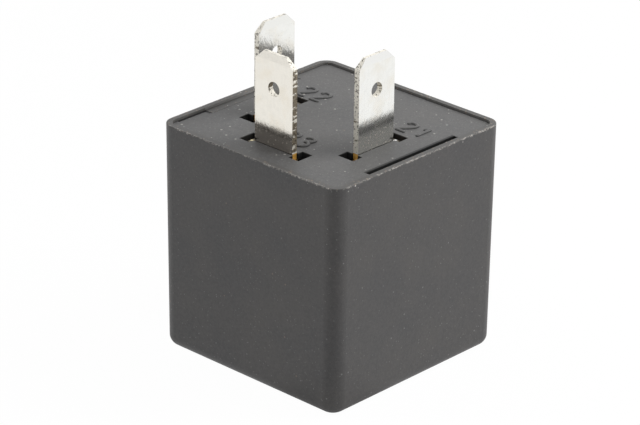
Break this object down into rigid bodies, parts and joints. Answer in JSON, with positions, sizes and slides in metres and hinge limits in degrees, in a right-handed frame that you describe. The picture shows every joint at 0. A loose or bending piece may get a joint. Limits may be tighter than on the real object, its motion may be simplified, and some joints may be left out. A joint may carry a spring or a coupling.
{
  "type": "automotive relay",
  "caption": "Square plug-in flasher relay with flat blade terminals, a moulded cover and base, and a hinged-armature contact inside.",
  "frame": {"origin": "middle of the cover's closed end, on the surface it stands on", "axes": "+Z out along the blades, -Y towards the side of the output blade, -X towards the side of the cover's locating lug"},
  "size_m": [0.03, 0.03, 0.0424],
  "materials": {
    "cover_plastic": "moulded, fine satin",
    "base_plastic": "moulded, satin",
    "tinned_brass": "satin tin plate",
    "plated_steel": "zinc plated",
    "soft_iron": "nickel plated",
    "bobbin_plastic": "moulded, natural",
    "enamelled_copper": "gloss enamel",
    "tinned_wire": "bright tin",
    "spring_bronze": "rolled strip",
    "contact_silver": "satin silver",
    "board_laminate": "paper laminate",
    "solder": "bright solder",
    "chip_epoxy": "moulded epoxy",
    "resistor_lacquer": "lacquered",
    "can_sleeve": "shrunk sleeve"
  },
  "bodies": {
    "housing": {"cover": "cover_plastic", "base_plate": "base_plastic", "output_terminal": "tinned_brass", "supply_terminal": "tinned_brass", "ground_terminal": "tinned_brass", "yoke": "plated_steel", "core": "soft_iron", "bobbin": "bobbin_plastic", "coil_winding": "enamelled_copper", "coil_pins": "tinned_wire", "coil_leads": "tinned_wire", "yoke_rivets": "plated_steel", "fixed_contact": "contact_silver", "shunt": "spring_bronze", "circuit_board": "board_laminate", "solder_joints": "solder", "timer_chip": "chip_epoxy", "timer_chip_leads": "tinned_wire", "supply_resistor": "resistor_lacquer", "timing_resistor": "resistor_lacquer", "drive_resistor": "resistor_lacquer", "resistor_leads": "tinned_wire", "clamp_diode": "chip_epoxy", "diode_leads": "tinned_wire", "timing_capacitor": "can_sleeve", "capacitor_leads": "tinned_wire"},
    "contact_arm": {"armature": "soft_iron", "leaf_spring": "spring_bronze", "armature_rivets": "plated_steel", "moving_contact": "contact_silver"}
  },
  "joints": [
    {"name": "armature_hinge", "type": "hinge", "parent": "housing", "child": "contact_arm", "pos_m": [0, 0.0063, 0.0066], "axis": [-1, 0, 0], "range_deg": [0, 2.5], "stiffness_Nm_per_rad": 0.01, "springref_deg": -11.46, "deforming": ["leaf_spring"]}
  ]
}
